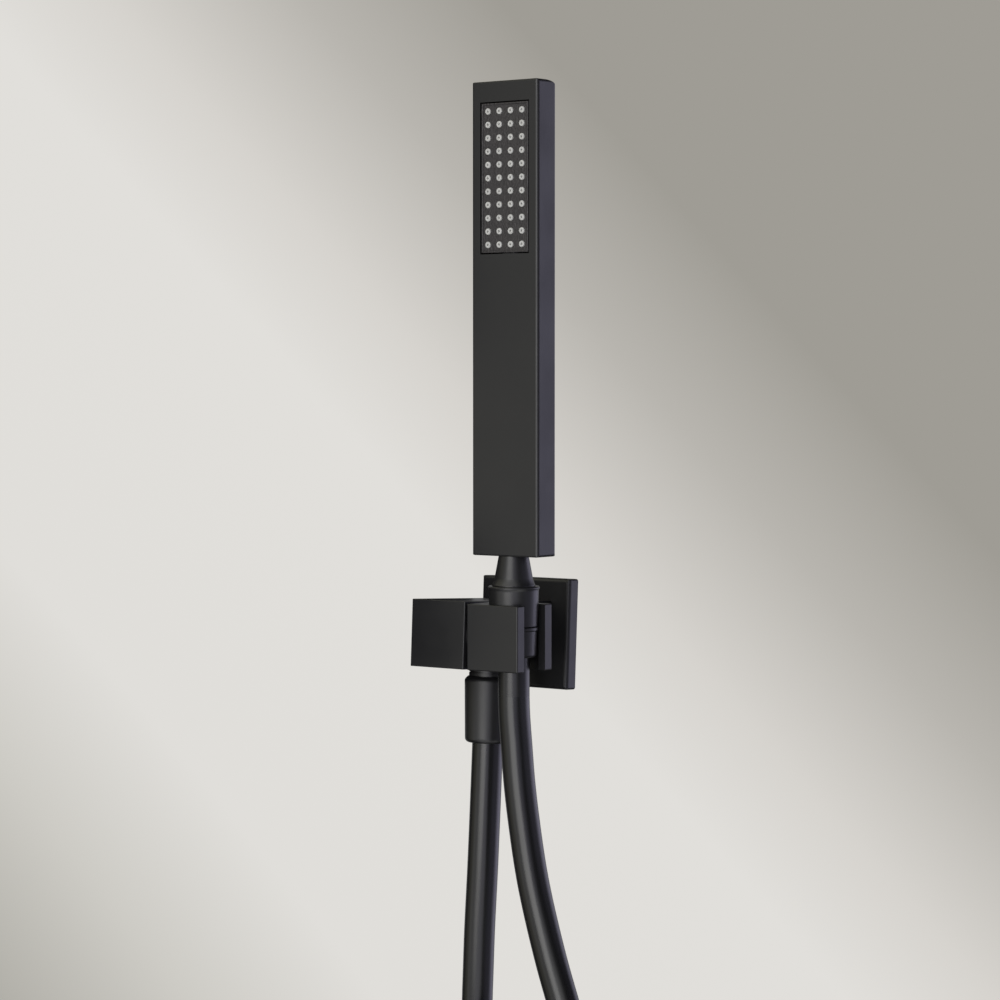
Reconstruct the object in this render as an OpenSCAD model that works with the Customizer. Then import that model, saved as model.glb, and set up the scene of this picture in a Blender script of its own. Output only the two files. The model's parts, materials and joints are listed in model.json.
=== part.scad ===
// Handheld shower set: a square stick handset in a hinged wall clip, with its
// supply elbow and hose. +Z is up, the wall is the plane Y = 0, the room is on
// the -Y side, and the origin is the centre of the plate's back face.

/* [Wall plate] */
// Side of the square plate
plate_size = 52.4; // [44:0.2:70]
// How far the plate stands off the wall
plate_depth = 7; // [6:0.5:9]
// Radius of the plate's four corners
plate_corner_r = 1.2; // [0.5:0.1:4]
// Radius round the plate's front edge
plate_edge_r = 1.8; // [0.5:0.1:2.5]
// Width of the plate's rim round the gasket
plate_rim = 2.6; // [2:0.1:4]
// Width of the ledge that backs the gasket
plate_ledge = 3.4; // [2:0.1:5]
// Thickness of the plate's front wall
plate_wall = 2.5; // [2:0.1:3.5]
// Thickness of the gasket
gasket_t = 1.2; // [0.8:0.1:2]

/* [Supply arm] */
// Side of the arm's square section
arm_size = 31.2; // [29:0.1:40]
// Distance from the wall to the arm's front face
arm_reach = 72.4; // [72:0.1:100]
// Edge radius of the arm
arm_edge_r = 0.4; // [0.3:0.1:1.5]
// Radius of the round boss that passes through the plate
arm_boss_r = 12; // [11.5:0.1:14]
// Clearance between the wall and the arm's back end
arm_back_gap = 0.6; // [0.2:0.1:1.5]
// Radius of the inlet thread, G 1/2
inlet_r = 9.3; // [9.2:0.05:9.5]
// Depth of the inlet thread
inlet_depth = 12; // [10:0.5:14]
// Radius of the water channel
channel_r = 5.5; // [4:0.1:6]
// Distance from the wall to the outlet's axis
outlet_back = 32.4; // [28:0.1:34]

/* [Outlet] */
// Radius of the spigot's two threads
spigot_thread_r = 9.95; // [9.5:0.05:10.4]
// Radius of the spigot's collar
spigot_collar_r = 9.7; // [9.2:0.1:10.5]
// Height of the spigot's collar below the arm
spigot_collar_h = 4.7; // [4:0.1:8]
// Length of the upper thread inside the arm
spigot_upper = 8; // [7:0.5:10]
// Length of the lower thread
spigot_lower = 10; // [8:0.5:12]
// Radius of the check valve cartridge
valve_r = 7.5; // [7:0.1:8]
// Length of the check valve cartridge
valve_len = 10; // [9.5:0.5:11]
// How far the poppet opens
poppet_travel = 2; // [1:0.1:2.5]

/* [Holder] */
// Length of the clip away from the arm
holder_len = 29.2; // [28:0.1:34]
// Depth of the clip from front to back
holder_depth = 26; // [25.6:0.1:32]
// Height of the clip
holder_height = 30.3; // [26:0.1:36]
// Edge radius of the clip
holder_edge_r = 0.6; // [0.3:0.1:1.2]
// Gap between the arm and the clip, filled by the friction washer
holder_gap = 0.8; // [0.5:0.1:2]
// Distance from the clip's arm side to the handset's axis
seat_offset = 17.15; // [16.5:0.05:20]
// Width of the slot that the hose passes through
slot_w = 15.7; // [15:0.1:19]
// Distance from the wall to the clip's pivot
pivot_back = 58.4; // [56:0.1:59]
// Radius of the pivot screw's shank
pivot_r = 2.5; // [2:0.1:3]
// Forward lean of the handset at rest, degrees
rest_tilt = 2.8; // [0:0.1:10]

/* [Hose fittings] */
// Radius of the cone nut's rim
nut_rim_r = 11.95; // [11.6:0.05:13]
// Radius of the cone nut under its flared rim
nut_r = 11.5; // [11.2:0.1:12]
// How much the cone nut narrows to its foot
nut_taper = 0.5; // [0.1:0.05:0.6]
// Height of the cone nut above the clip
nut_above = 8.3; // [7:0.1:12]
// Depth of the cone nut inside the clip
nut_inside = 10.1; // [9.5:0.1:13]
// Radius of the swivel sleeve below its lip
sleeve_r = 10.8; // [10:0.1:11.2]
// Height of the swivel sleeve
sleeve_h = 14; // [12:0.1:18]
// Radius of the outlet nut under its shoulder
outlet_nut_r = 11.7; // [11.5:0.1:13]
// Length of the outlet nut
outlet_nut_h = 31.2; // [29:0.1:36]

/* [Handset] */
// Width of the handset
head_w = 37.9; // [34:0.1:50]
// Depth of the handset from front to back
head_d = 13.8; // [13:0.1:18]
// Length of the handset's square body
head_len = 215.9; // [180:0.1:260]
// Wall of the handset's body
head_wall = 1.6; // [1.2:0.1:2]
// Radius of the handset's long edges
head_edge_r = 1.4; // [0.5:0.1:2.5]
// Length of the neck between the nut and the body
neck_h = 13.8; // [10:0.1:20]
// Radius of the neck under the body
neck_r = 6.9; // [6.4:0.1:8]

/* [Spray face] */
// Columns of nozzles
nozzle_cols = 4; // [2:1:5]
// Rows of nozzles
nozzle_rows = 11; // [4:1:13]
// Distance between columns
nozzle_pitch_x = 6.45; // [5:0.05:7]
// Distance between rows
nozzle_pitch_z = 6.05; // [5:0.05:7]
// Radius of one nozzle
nozzle_r = 1.5; // [1:0.1:2]
// Radius of the hole in a nozzle
jet_r = 0.45; // [0.3:0.05:0.7]
// Margin from the outer nozzles to the edge of the window
window_margin = 4.3; // [3.5:0.1:5]
// Distance from the body's top to the window
window_top = 9.4; // [5:0.1:20]
// Gap round the spray face in its window
face_gap = 0.6; // [0.3:0.1:1]
// How far the spray face lies below the body's front
face_recess = 0.4; // [0.4:0.1:1]

/* [Hose] */
// Outer diameter of the hose
hose_d = 14.6; // [13.5:0.1:14.8]

/* [Hidden] */
$fn = 48;

// Clearances
snug = 0.05;        // between pieces of one body
running = 0.06;     // radial, between a shaft and its hole
eps = 0.1;          // overrun of a cut

// Flat washers
washer_t = 2;
washer_hole_r = 5;

// Wall plate
gasket_out = plate_size - 2 * plate_rim;
gasket_in = gasket_out - 2 * plate_ledge;
boss_hole_r = arm_boss_r + 0.2;
o_ring_r = 0.8;

// Inlet, measured from the wall: the thread ends in a wider recess for the filter washer
thread_end = arm_back_gap + inlet_depth;
filter_recess_r = inlet_r + 0.4;

// Outlet, heights measured from the arm's axis
arm_bottom = -arm_size / 2;
collar_bottom = arm_bottom - spigot_collar_h;
spigot_top = arm_bottom + spigot_upper;
nut_start_gap = 0.2;
outlet_nut_top = collar_bottom - nut_start_gap;
outlet_nut_bottom = outlet_nut_top - outlet_nut_h;
spigot_bottom = outlet_nut_top - spigot_lower;
flange_t = 2;
thread_bore_r = spigot_thread_r + snug;
flange_r = thread_bore_r - 0.4;
outlet_flange_bottom = spigot_bottom - washer_t - flange_t;
valve_bottom = spigot_top - valve_len;
valve_seat_t = 2.2;
poppet_r = valve_r - 2.6;
poppet_t = 1.4;
stem_r = 1.1;
spider_t = 1.2;
spring_wire_r = 0.3;
spring_r = 2.2;

// Hose fittings, measured along the handset's axis from the pivot's height
hose_r = hose_d / 2;
hose_hole_r = hose_r + 0.35;
ferrule_wall = 1.1;
ferrule_r = hose_hole_r + ferrule_wall;
barb_r = 4.6;
barb_bore_r = 3.6;
seat_top = holder_height / 2;
nut_bottom = seat_top - nut_inside;
nut_top = seat_top + nut_above;
nut_flare_h = 2.4;
nut_flare_z = nut_top - nut_flare_h;
seat_r = nut_radius(seat_top) + running;
lip_r = seat_r - 0.12;
lip_h = 2;
swivel_gap = 0.12;
sleeve_top = nut_bottom - swivel_gap;
sleeve_bottom = sleeve_top - sleeve_h;
shank_r = 6;
nut_floor_t = 3.4;
nipple_flange_z = nut_bottom + nut_floor_t + swivel_gap;
nut_bore_r = spigot_thread_r + snug;
nipple_flange_r = nut_bore_r - 0.7;
neck_bottom = nipple_flange_z + flange_t + washer_t;

// Holder
holder_x = arm_size / 2 + holder_gap;
seat_x = holder_x + seat_offset;
bush_r = pivot_r + 1;
bush_flange_t = 0.5;
screw_head_r = 4.4;
screw_head_t = 1.4;
wave_t = 0.4;
head_pocket_r = screw_head_r + 0.5;
nut_clear = 0.35;
screw_head_x = -seat_r - nut_clear;
pocket_x = screw_head_x - screw_head_t - wave_t - bush_flange_t;
screw_in_arm = 10;

// Handset
body_bottom = nut_top + neck_h;
body_top = body_bottom + head_len;
front_y = -head_d / 2;
end_wall = 3;
top_round_d = 8;
top_round_h = 3.4;
end_edge_r = 0.8;
front_corner_r = 1.5;
neck_thread_r = head_d / 2 - head_wall - 0.3;
neck_bore_r = neck_thread_r - 1;
neck_flare_h = 4.2;
neck_step = 1.75;
window_w = (nozzle_cols - 1) * nozzle_pitch_x + 2 * window_margin;
window_h = (nozzle_rows - 1) * nozzle_pitch_z + 2 * window_margin - 0.1;
window_z = body_top - window_top - window_h / 2;
face_w = window_w - 2 * face_gap;
face_h = window_h - 2 * face_gap;
face_y = front_y + face_recess;
face_t = 1.3;
face_rim_w = 0.9;
face_rim_h = 0.4;
mat_t = 1;
mat_y = face_y + face_t;
mat_w = face_w - 0.8;
mat_h = face_h - 0.8;
nozzle_out = 0.45;
nozzle_hole_r = nozzle_r + snug;
chamber_y = mat_y + mat_t;
chamber_back = head_d / 2 - head_wall - 0.5;
chamber_wall = 1.2;
tube_r = neck_bore_r - 0.7;
tube_wall = 0.7;
tube_groove = 0.35;
tube_o_ring_r = (neck_bore_r - tube_r + tube_groove) / 2;
neck_o_ring_r = 0.55;
socket_depth = 8;
socket_wall = 1;
chamber_floor = 4;
chamber_bottom = window_z - mat_h / 2;
neck_top = body_bottom + 8;
tube_bottom = neck_top - 6;
tube_top = chamber_bottom - 1;

// Hose route. The coil lies in a plane parallel to the wall, below both ends of
// the hose, and its turns stand side by side from the wall towards the room.
coil_c = [40, -46, -268];
coil_r = 76;
coil_turns = 2.72;
coil_width = coil_turns * (hose_d + 0.2) + hose_d;
tail_len = 18;
tie_w = 12;
tie_t = 1.2;
tie_gap = 0.35;
supply_route = [[-0.3, -32.4, -80], [-0.9, -32.2, -110], [-2.1, -31.6, -140], [-3.2, -30.4, -168],
                [-4.8, -28.8, -188], [-9.5, -27.6, -201]];
handset_route = [[34.3, -57, -37], [35.9, -57, -49], [38.2, -57.2, -65], [41.8, -57.6, -83],
                 [48.6, -58.3, -110], [60.5, -59.9, -142], [72.8, -62.2, -168], [86, -65.2, -196]];

// ---------- shared shapes ----------

// Flat outline with round corners, centred
module round_rect(w, h, r) {
    square([w - 2 * r, h], center = true);
    square([w, h - 2 * r], center = true);
    for (x = [-1, 1], y = [-1, 1])
        translate([x * (w / 2 - r), y * (h / 2 - r)]) circle(r);
}

// Block with every edge rounded, from corner to corner
module soft_block(low, high, r) {
    size = high - low;
    translate((low + high) / 2) intersection() {
        linear_extrude(size.z, center = true) round_rect(size.x, size.y, r);
        rotate([90, 0, 0]) linear_extrude(size.y, center = true) round_rect(size.x, size.z, r);
        rotate([90, 0, 90]) linear_extrude(size.x, center = true) round_rect(size.y, size.z, r);
    }
}

// Plain block from corner to corner
module block(low, high) {
    translate(low) cube(high - low);
}

// Cylinder or ring on the Z axis between two heights
module ring(r, z0, z1, hole = 0) {
    difference() {
        translate([0, 0, z0]) cylinder(r = r, h = z1 - z0);
        if (hole > 0) translate([0, 0, z0 - eps]) cylinder(r = hole, h = z1 - z0 + 2 * eps);
    }
}

// O-ring on the Z axis
module o_ring(middle_r, section_r, z) {
    translate([0, 0, z]) rotate_extrude() translate([middle_r, 0]) circle(section_r, $fn = 24);
}

// Points of an arc, angles in degrees
function arc(c, r, from, to, n = 5) =
    [for (i = [0:n]) let (a = from + (to - from) * i / n) c + r * [cos(a), sin(a)]];

// Radius of the cone nut at a height under its flared rim
function nut_radius(z) = nut_r - nut_taper * (nut_flare_z - z) / (nut_flare_z - nut_bottom);

// Turns the Z axis to point from the wall into the room
module into_room() {
    rotate([90, 0, 0]) children();
}

// Moves a piece drawn on the Z axis to the outlet's axis
module at_outlet() {
    translate([0, -outlet_back, 0]) children();
}

// Moves a piece drawn on the handset's axis into the leaning holder
module seated() {
    translate([seat_x, -pivot_back, 0]) rotate([rest_tilt, 0, 0]) children();
}

// Moves a piece drawn on the Z axis to the pivot's axis; Z then runs away from the arm
module at_pivot() {
    seated() rotate([0, 90, 0]) children();
}

// ---------- cord sweep ----------

function unit(v) = v / norm(v);

// Direction of a route at one of its points
function heading(route, i) =
    let (a = max(i - 1, 0), b = min(i + 1, len(route) - 1)) unit(route[b] - route[a]);

// One ring of points round a route point, square to the given direction
function hoop(point, along, r, sides) =
    let (u = unit(cross(along, [0, 1, 0])), v = cross(along, u))
    [for (k = [0:sides - 1]) point + r * (cos(360 * k / sides) * u + sin(360 * k / sides) * v)];

// Tube along a route, as one closed solid, with its end directions given
module sweep(route, r, first, last, sides = 12) {
    n = len(route);
    rings = [for (i = [0:n - 1])
        hoop(route[i], i == 0 ? first : i == n - 1 ? last : heading(route, i), r, sides)];
    points = [for (one = rings) each one];
    sides_faces = [for (i = [0:n - 2], k = [0:sides - 1])
        let (m = (k + 1) % sides)
        [i * sides + k, i * sides + m, (i + 1) * sides + m, (i + 1) * sides + k]];
    start_face = [[for (k = [sides - 1:-1:0]) k]];
    end_face = [[for (k = [0:sides - 1]) (n - 1) * sides + k]];
    polyhedron(points, concat(sides_faces, start_face, end_face), convexity = 6);
}

// Point on the handset's axis at rest, from a height along that axis
function on_axis(w) = [seat_x, -pivot_back - w * sin(rest_tilt), w * cos(rest_tilt)];

// ---------- wall plate ----------

module wall_plate() {
    color("#1b1b1d") difference() {
        intersection() {
            into_room() linear_extrude(plate_depth) round_rect(plate_size, plate_size, plate_corner_r);
            for_plate_edge();
        }
        into_room() translate([0, 0, -eps])
            linear_extrude(gasket_t + eps) square(gasket_out + 0.2, center = true);
        into_room() translate([0, 0, -eps])
            linear_extrude(plate_depth - plate_wall + eps) square(gasket_in, center = true);
        into_room() translate([0, 0, -eps]) cylinder(r = boss_hole_r, h = plate_depth + 2 * eps);
    }
}

// Two crossed bars whose front edges carry the plate's front radius
module for_plate_edge() {
    half = plate_size / 2;
    outline = concat([[half, 0]],
                     arc([half - plate_edge_r, plate_depth - plate_edge_r], plate_edge_r, 0, 90, 6),
                     arc([plate_edge_r - half, plate_depth - plate_edge_r], plate_edge_r, 90, 180, 6),
                     [[-half, 0]]);
    intersection() {
        rotate([180, 0, 0]) linear_extrude(plate_size, center = true)
            polygon([for (p = outline) [p.x, p.y]]);
        rotate([0, 90, 0]) linear_extrude(plate_size, center = true)
            polygon([for (p = outline) [p.x, -p.y]]);
    }
}

module plate_gasket() {
    color("#3c3c40") into_room() linear_extrude(gasket_t) difference() {
        square(gasket_out, center = true);
        square(gasket_in, center = true);
    }
}

module plate_o_ring() {
    color("#101010") into_room()
        o_ring(boss_hole_r - o_ring_r, o_ring_r, plate_depth - plate_wall / 2);
}

// ---------- supply arm ----------

module supply_arm() {
    half = arm_size / 2;
    color("#1b1b1d") difference() {
        union() {
            soft_block([-half, -arm_reach, -half], [half, -plate_depth, half], arm_edge_r);
            into_room() ring(arm_boss_r, arm_back_gap, plate_depth + 1);
        }
        // groove for the O-ring that centres the plate
        into_room() ring(arm_boss_r + 1, plate_depth - plate_wall / 2 - o_ring_r - snug,
                         plate_depth - plate_wall / 2 + o_ring_r + snug,
                         boss_hole_r - 2 * o_ring_r - snug);
        // inlet thread and water channel
        into_room() ring(inlet_r, -eps, thread_end + eps);
        into_room() ring(filter_recess_r, thread_end, thread_end + washer_t);
        into_room() ring(channel_r, 0, outlet_back + channel_r);
        // outlet bore
        at_outlet() ring(channel_r, arm_bottom - eps, channel_r);
        at_outlet() ring(thread_bore_r, arm_bottom - eps, spigot_top + o_ring_r * 2);
        // pivot thread
        at_pivot() ring(pivot_r + snug, -seat_x + half - screw_in_arm - 1, -seat_x + half + eps);
    }
}

module inlet_filter_washer() {
    color("#6a6a70") into_room() difference() {
        ring(filter_recess_r - snug, thread_end, thread_end + washer_t);
        for (x = [-1:1], y = [-1:1])
            translate([x, y, 0] * 2.4) ring(0.7, thread_end - eps, thread_end + washer_t + eps);
    }
}

// ---------- outlet and check valve ----------

module outlet_spigot() {
    groove_h = 0.5;
    color("#1b1b1d") at_outlet() difference() {
        union() {
            ring(spigot_thread_r, arm_bottom, spigot_top);
            ring(spigot_collar_r, arm_bottom - spigot_collar_h * 0.56, arm_bottom);
            ring(spigot_collar_r - 0.5, collar_bottom, arm_bottom);
            ring(spigot_collar_r, collar_bottom, collar_bottom + spigot_collar_h * 0.44 - groove_h);
            ring(spigot_thread_r - 0.9, spigot_bottom, collar_bottom);
            ring(spigot_thread_r, spigot_bottom, outlet_nut_top - 0.5);
        }
        ring(valve_r + snug, valve_bottom, spigot_top + eps);
        ring(washer_hole_r, spigot_bottom - eps, spigot_top);
    }
}

module spigot_o_ring() {
    color("#101010") at_outlet()
        o_ring(spigot_thread_r - o_ring_r, o_ring_r, spigot_top + o_ring_r);
}

module check_valve_housing() {
    inner_r = valve_r - 1.5;
    window_ring_r = inner_r - 2.1;
    color("#d9d4c6") at_outlet() {
        difference() {
            ring(valve_r, valve_bottom, spigot_top, poppet_r - 1);
            ring(inner_r, valve_bottom - eps, spigot_top - valve_seat_t);
        }
        // spider that guides the poppet's stem
        difference() {
            ring(inner_r + eps, valve_bottom, valve_bottom + spider_t, stem_r + running);
            for (a = [0:72:288]) rotate([0, 0, a])
                translate([window_ring_r, 0, 0]) ring(1.6, valve_bottom - eps, valve_bottom + spider_t + eps);
        }
    }
}

module check_valve_poppet() {
    top = spigot_top - valve_seat_t - 0.02;
    color("#e6e2d6") at_outlet() {
        ring(poppet_r, top - poppet_t, top);
        ring(stem_r, valve_bottom - 0.2, top);
    }
}

module check_valve_spring() {
    top = spigot_top - valve_seat_t - poppet_t - spring_wire_r - 0.1;
    bottom = valve_bottom + spider_t + spring_wire_r + 0.05;
    turns = 4;
    steps = turns * 14;
    helix = [for (i = [0:steps]) let (a = 360 * turns * i / steps)
        [spring_r * cos(a), spring_r * sin(a), bottom + (top - bottom) * i / steps]];
    color("#b9bcc0") at_outlet() sweep_round(helix, spring_wire_r, 8);
}

// Wire along a helix about the Z axis
module sweep_round(route, r, sides) {
    n = len(route);
    points = [for (p = route, k = [0:sides - 1])
        let (out = unit([p.x, p.y, 0]), a = 360 * k / sides)
        p + r * (cos(a) * out + sin(a) * [0, 0, 1])];
    walls = [for (i = [0:n - 2], k = [0:sides - 1]) let (m = (k + 1) % sides)
        [i * sides + k, (i + 1) * sides + k, (i + 1) * sides + m, i * sides + m]];
    polyhedron(points, concat(walls, [[for (k = [0:sides - 1]) k]],
                              [[for (k = [sides - 1:-1:0]) (n - 1) * sides + k]]), convexity = 8);
}

// ---------- hose nut at the outlet ----------

module outlet_washer() {
    color("#101010") at_outlet()
        ring(flange_r, spigot_bottom - washer_t, spigot_bottom, washer_hole_r);
}

module outlet_nipple() {
    color("#b59a55") at_outlet() difference() {
        union() {
            ring(flange_r, outlet_flange_bottom, outlet_flange_bottom + flange_t);
            ring(barb_r, outlet_nut_bottom + 0.2, outlet_flange_bottom + eps);
        }
        ring(barb_bore_r, outlet_nut_bottom, outlet_flange_bottom + flange_t + eps);
    }
}

module outlet_ferrule() {
    color("#b9bcc0") at_outlet()
        ring(ferrule_r, outlet_nut_bottom + 2.2, outlet_flange_bottom - 0.3, hose_hole_r);
}

module outlet_hose_nut() {
    taper = 0.9;
    foot_r = 2.2;
    bottom_r = outlet_nut_r - taper;
    shoulder = outlet_nut_r - thread_bore_r;
    outer = concat([[thread_bore_r + 0.2, outlet_nut_top],
                    [outlet_nut_r - 0.4, outlet_nut_top - shoulder + 0.6],
                    [outlet_nut_r - 0.1, outlet_nut_top - shoulder],
                    [outlet_nut_r, outlet_nut_top - shoulder - 0.6]],
                   arc([bottom_r - foot_r, outlet_nut_bottom + foot_r], foot_r, 0, -90, 6),
                   [[hose_hole_r, outlet_nut_bottom]]);
    inner = [[hose_hole_r, outlet_nut_bottom + 2], [ferrule_r + snug, outlet_nut_bottom + 2],
             [ferrule_r + snug, outlet_flange_bottom], [thread_bore_r, outlet_flange_bottom],
             [thread_bore_r, outlet_nut_top]];
    color("#1b1b1d") at_outlet() rotate_extrude() polygon(concat(outer, inner));
}

// ---------- hose ----------

module hose_supply_run() {
    start = [0, -outlet_back, outlet_nut_bottom];
    route = concat([start], supply_route);
    color("#151517") sweep(route, hose_r, [0, 0, -1], heading(route, len(route) - 1));
}

module hose_coil() {
    round_r = hose_r - 1;
    color("#151517") translate(coil_c) into_room() rotate_extrude($fn = 96)
        translate([coil_r, 0]) round_rect(hose_d, coil_width, round_r);
}

module hose_handset_run() {
    start = on_axis(sleeve_bottom - tail_len);
    route = concat([start], handset_route);
    color("#151517") sweep(route, hose_r, unit(on_axis(-1) - on_axis(0)),
                           heading(route, len(route) - 1));
}

module hose_end_run() {
    color("#151517") seated() ring(hose_r, sleeve_bottom - tail_len, sleeve_bottom);
}

module hose_tie() {
    inside = [hose_d, coil_width] + [1, 1] * 2 * tie_gap;
    inside_r = hose_r - 1 + tie_gap;
    color("#2a2a2c") translate(coil_c - [0, 0, coil_r]) rotate([0, 90, 0])
        linear_extrude(tie_w, center = true) difference() {
            round_rect(inside.x + 2 * tie_t, inside.y + 2 * tie_t, inside_r + tie_t);
            round_rect(inside.x, inside.y, inside_r);
        }
}

// ---------- holder and its pivot ----------

module holder() {
    color("#1b1b1d") seated() difference() {
        soft_block([-seat_offset, -holder_depth / 2, -holder_height / 2],
                   [holder_len - seat_offset, holder_depth / 2, holder_height / 2], holder_edge_r);
        ring(seat_r, -holder_height / 2 - eps, holder_height / 2 + eps);
        block([0, -slot_w / 2, -holder_height / 2 - eps],
              [holder_len, slot_w / 2, holder_height / 2 + eps]);
        // bush hole, and the pocket that hides the screw's head
        rotate([0, 90, 0]) ring(bush_r + snug / 2, -seat_offset - eps, 0);
        rotate([0, 90, 0]) ring(head_pocket_r, pocket_x, 0);
    }
}

module pivot_bush() {
    color("#d9d4c6") at_pivot() difference() {
        union() {
            ring(bush_r, -seat_offset, pocket_x + bush_flange_t);
            ring(screw_head_r, pocket_x, pocket_x + bush_flange_t);
        }
        ring(pivot_r + running, -seat_offset - eps, 0);
    }
}

module pivot_screw() {
    color("#8a8d92") at_pivot() difference() {
        union() {
            ring(pivot_r, arm_size / 2 - seat_x - screw_in_arm, screw_head_x);
            ring(screw_head_r, screw_head_x - screw_head_t, screw_head_x);
        }
        translate([0, 0, screw_head_x - 0.9]) cylinder(r = 1.6, h = 2, $fn = 6);
    }
}

module pivot_wave_washer() {
    top = screw_head_x - screw_head_t;
    color("#b9bcc0") at_pivot() ring(screw_head_r - 0.3, top - wave_t, top, pivot_r + 0.2);
}

module friction_washer() {
    color("#2a2a2c") at_pivot()
        ring(arm_size / 2 - 3.5, -seat_offset - holder_gap, -seat_offset, pivot_r + 0.2);
}

// ---------- swivel end of the hose ----------

module swivel_sleeve() {
    taper = 0.4;
    foot_r = 1.5;
    low_r = sleeve_r - taper;
    outer = concat([[shank_r + snug, sleeve_top], [lip_r - 0.4, sleeve_top], [lip_r, sleeve_top - 0.4],
                    [lip_r, sleeve_top - lip_h + 0.5], [sleeve_r, sleeve_top - lip_h]],
                   arc([low_r - foot_r, sleeve_bottom + foot_r], foot_r, 0, -90, 6));
    inner = [[hose_hole_r, sleeve_bottom], [hose_hole_r, sleeve_bottom + 1],
             [ferrule_r + snug, sleeve_bottom + 1], [ferrule_r + snug, sleeve_top - lip_h],
             [shank_r + snug, sleeve_top - lip_h]];
    color("#1b1b1d") seated() rotate_extrude() polygon(concat(outer, inner));
}

module swivel_nipple() {
    color("#b59a55") seated() difference() {
        union() {
            ring(nipple_flange_r, nipple_flange_z, nipple_flange_z + flange_t);
            ring(shank_r, sleeve_top - lip_h, nipple_flange_z + eps);
            ring(barb_r, sleeve_bottom + 0.2, sleeve_top - lip_h + eps);
        }
        ring(barb_bore_r, sleeve_bottom, nipple_flange_z + flange_t + eps);
        // groove for the swivel's O-ring
        ring(shank_r + 1, nut_bottom + nut_floor_t / 2 - 0.6, nut_bottom + nut_floor_t / 2 + 0.6,
             shank_r - 1.1);
    }
}

module swivel_ferrule() {
    color("#b9bcc0") seated()
        ring(ferrule_r, sleeve_bottom + 1.2, sleeve_top - lip_h - 0.2, hose_hole_r);
}

module swivel_o_ring() {
    section_r = 0.55;
    color("#101010") seated()
        o_ring(shank_r - section_r, section_r, nut_bottom + nut_floor_t / 2);
}

// ---------- cone nut and neck ----------

module cone_nut() {
    foot_r = nut_radius(nut_bottom);
    flare = nut_rim_r - nut_r;
    outer = concat([[foot_r - 0.3, nut_bottom], [foot_r, nut_bottom + 0.3]],
                   [for (t = [0:0.25:1]) [nut_r + flare * t * t, nut_flare_z + (nut_flare_h - 0.9) * t]],
                   [[nut_rim_r, nut_top - 0.5], [nut_rim_r - 0.5, nut_top]]);
    inner = [[nut_bore_r, nut_top], [nut_bore_r, nut_bottom + nut_floor_t],
             [shank_r + running, nut_bottom + nut_floor_t], [shank_r + running, nut_bottom]];
    color("#1b1b1d") seated() rotate_extrude() polygon(concat(outer, inner));
}

module handset_washer() {
    color("#101010") seated()
        ring(nut_bore_r - 0.3, neck_bottom - washer_t, neck_bottom, washer_hole_r);
}

module flow_limiter() {
    color("#8fa7b0") seated() difference() {
        ring(neck_bore_r - snug, neck_bottom + 0.5, neck_bottom + 4.5);
        for (a = [0:60:300]) rotate([0, 0, a])
            translate([2.7, 0, 0]) ring(0.7, neck_bottom, neck_bottom + 5);
    }
}

module neck() {
    flare_z = nut_top + snug * 2;
    flare_r = nut_bore_r - 0.1;
    waist_z = flare_z + neck_flare_h;
    waist_r = neck_r + neck_step;
    outer = concat([[neck_r, body_bottom], [waist_r, waist_z]],
                   [for (i = [1:4]) let (t = i / 4)
                       [waist_r + (flare_r - waist_r) * pow(t, 1.5), waist_z - (neck_flare_h - 0.4) * t]],
                   [[flare_r, flare_z], [spigot_thread_r - 0.8, flare_z],
                    [spigot_thread_r - 0.8, flare_z - 1], [spigot_thread_r, flare_z - 1.5],
                    [spigot_thread_r, neck_bottom]]);
    inner = [[neck_bore_r, neck_bottom], [neck_bore_r, neck_top], [neck_thread_r, neck_top],
             [neck_thread_r, body_bottom]];
    color("#1b1b1d") seated() rotate_extrude() polygon(concat(outer, inner));
}

module neck_o_ring() {
    color("#101010") seated()
        o_ring(neck_thread_r + snug + neck_o_ring_r, neck_o_ring_r,
               body_bottom + neck_o_ring_r + snug / 2);
}

// ---------- handset ----------

// Side outline of the body, y across and z up, with the long round at the top of its back
function body_side() =
    concat(arc([front_y + end_edge_r, body_bottom + end_edge_r], end_edge_r, 180, 270, 3),
           arc([-front_y - end_edge_r, body_bottom + end_edge_r], end_edge_r, 270, 360, 3),
           [for (a = [0:7.5:90]) [-front_y - top_round_d * (1 - cos(a)),
                                  body_top - top_round_h * (1 - sin(a))]],
           arc([front_y + end_edge_r, body_top - end_edge_r], end_edge_r, 90, 180, 3));

module handset_body() {
    inner_w = head_w - 2 * head_wall;
    inner_d = head_d - 2 * head_wall;
    color("#1b1b1d") seated() difference() {
        intersection() {
            translate([0, 0, body_bottom]) linear_extrude(head_len) round_rect(head_w, head_d, head_edge_r);
            rotate([90, 0, 90]) linear_extrude(head_w, center = true) polygon(body_side());
            translate([0, 0, body_bottom + head_len / 2]) rotate([90, 0, 0])
                linear_extrude(head_d + 2, center = true) round_rect(head_w, head_len, front_corner_r);
        }
        translate([0, 0, body_bottom + end_wall])
            linear_extrude(head_len - end_wall - top_round_h - head_wall)
            round_rect(inner_w, inner_d, 0.5);
        ring(neck_thread_r + snug, body_bottom - eps, body_bottom + end_wall + eps);
        ring(neck_thread_r + 2 * (snug + neck_o_ring_r), body_bottom - eps,
             body_bottom + 2 * neck_o_ring_r + snug);
        block([-window_w / 2, front_y - eps, window_z - window_h / 2],
              [window_w / 2, 0, window_z + window_h / 2]);
    }
}

module inlet_tube() {
    color("#c9c9c4") seated() difference() {
        ring(tube_r, tube_bottom, tube_top);
        ring(tube_r - tube_wall, tube_bottom - eps, tube_top + eps);
        for (z = [tube_bottom + 2, tube_top - 3])
            ring(tube_r + 1, z - tube_o_ring_r, z + tube_o_ring_r, tube_r - tube_groove);
    }
}

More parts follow.
